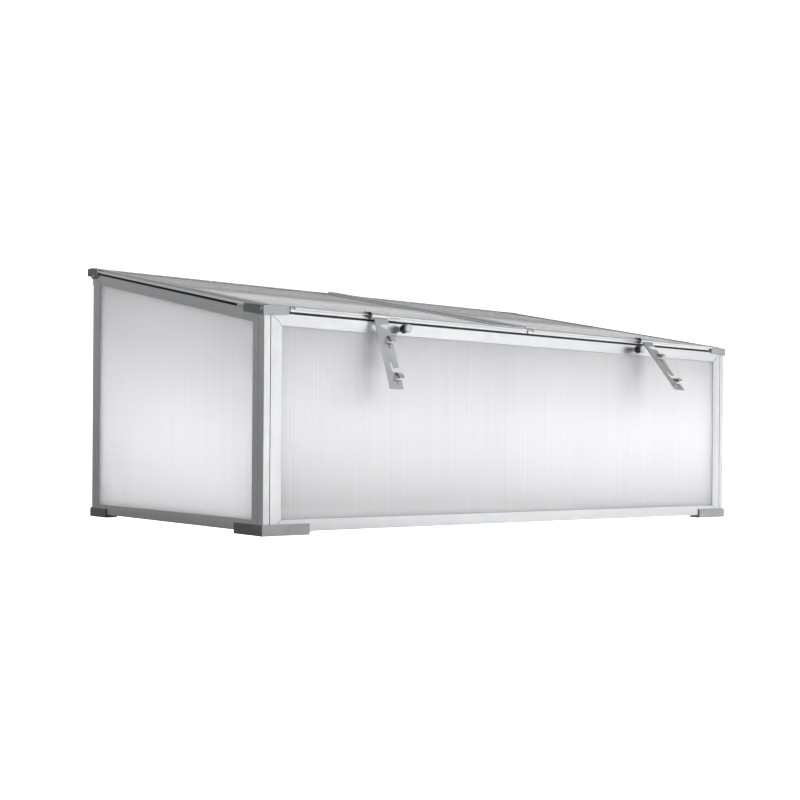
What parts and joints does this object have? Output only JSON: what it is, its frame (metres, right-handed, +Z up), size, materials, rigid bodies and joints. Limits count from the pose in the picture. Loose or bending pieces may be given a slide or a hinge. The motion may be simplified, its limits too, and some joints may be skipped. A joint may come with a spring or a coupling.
{
  "type": "cold frame",
  "caption": "Low aluminium cold frame with twin-wall polycarbonate walls and hinged sloping lids that notched stays hold open on studs.",
  "frame": {"origin": "centre of the box around the part, with the stays hanging out at the front, on the ground plane", "axes": "+X to the right seen from the low front, +Y to the high back where the lids hinge, +Z up"},
  "size_m": [0.9932, 0.6904, 0.4367],
  "materials": {
    "frame_aluminium": "mill-finish extrusion, faint die lines along its length",
    "stay_aluminium": "punched and bent sheet, satin",
    "twin_wall_sheet": "clear twin-wall polycarbonate sheet, milky from its inner ribs",
    "grey_plastic": "moulded dark grey plastic, fine texture",
    "light_grey_plastic": "moulded light grey plastic",
    "black_plastic": "moulded black plastic",
    "black_rubber": "matt black sealing strip",
    "zinc_steel": "bright zinc-plated steel"
  },
  "bodies": {
    "base": {"post_front_left": "frame_aluminium", "post_front_right": "frame_aluminium", "post_rear_left": "frame_aluminium", "post_rear_right": "frame_aluminium", "front_bottom_rail": "frame_aluminium", "front_top_rail": "frame_aluminium", "front_stile_left": "frame_aluminium", "front_stile_right": "frame_aluminium", "front_panel": "twin_wall_sheet", "rear_bottom_rail": "frame_aluminium", "rear_top_rail": "frame_aluminium", "rear_stile_left": "frame_aluminium", "rear_stile_right": "frame_aluminium", "rear_panel": "twin_wall_sheet", "left_bottom_rail": "frame_aluminium", "left_top_rail": "frame_aluminium", "left_stile_left": "frame_aluminium", "left_stile_right": "frame_aluminium", "left_panel": "twin_wall_sheet", "right_bottom_rail": "frame_aluminium", "right_top_rail": "frame_aluminium", "right_stile_left": "frame_aluminium", "right_stile_right": "frame_aluminium", "right_panel": "twin_wall_sheet", "foot_front_left": "grey_plastic", "foot_front_right": "grey_plastic", "foot_rear_left": "grey_plastic", "foot_rear_right": "grey_plastic", "cap_front_left": "grey_plastic", "cap_front_right": "grey_plastic", "cap_rear_left": "grey_plastic", "cap_rear_right": "grey_plastic", "hinge_rail": "frame_aluminium", "centre_rafter": "frame_aluminium", "front_seal": "black_rubber", "rear_seal": "black_rubber", "side_seals": "black_rubber", "centre_seal": "black_rubber", "stud_bolts": "zinc_steel", "stud_collars": "grey_plastic", "stud_knobs": "black_plastic", "stud_caps": "light_grey_plastic", "stud_nuts": "zinc_steel", "frame_screws": "zinc_steel"},
    "lid_left": {"lid_left_front_rail": "frame_aluminium", "lid_left_rear_rail": "frame_aluminium", "lid_left_rail_left": "frame_aluminium", "lid_left_rail_right": "frame_aluminium", "lid_left_pane": "twin_wall_sheet"},
    "lid_right": {"lid_right_front_rail": "frame_aluminium", "lid_right_rear_rail": "frame_aluminium", "lid_right_rail_left": "frame_aluminium", "lid_right_rail_right": "frame_aluminium", "lid_right_pane": "twin_wall_sheet"},
    "stay_clip_left": {"stay_clip_left": "black_plastic"},
    "stay_clip_right": {"stay_clip_right": "black_plastic"},
    "stay_left": {"stay_left": "stay_aluminium"},
    "stay_right": {"stay_right": "stay_aluminium"}
  },
  "joints": [
    {"name": "lid_left_hinge", "type": "hinge", "parent": "base", "child": "lid_left", "pos_m": [-0.249, 0.33617, 0.4306], "axis": [-1, 0, 0], "range_deg": [0, 75]},
    {"name": "lid_right_hinge", "type": "hinge", "parent": "base", "child": "lid_right", "pos_m": [0.243, 0.33617, 0.4306], "axis": [-1, 0, 0], "range_deg": [0, 75]},
    {"name": "stay_left_slide", "type": "slide", "parent": "lid_left", "child": "stay_clip_left", "axis": [1, 0, 0], "range_m": [-0.1, 0.015]},
    {"name": "stay_right_slide", "type": "slide", "parent": "lid_right", "child": "stay_clip_right", "axis": [1, 0, 0], "range_m": [-0.008, 0.1]},
    {"name": "stay_left_swing", "type": "hinge", "parent": "stay_clip_left", "child": "stay_left", "pos_m": [-0.3025, -0.27063, 0.312], "axis": [-1, 0, 0], "range_deg": [-21, 79]},
    {"name": "stay_right_swing", "type": "hinge", "parent": "stay_clip_right", "child": "stay_right", "pos_m": [0.2718, -0.27063, 0.312], "axis": [-1, 0, 0], "range_deg": [-40, 60]}
  ]
}
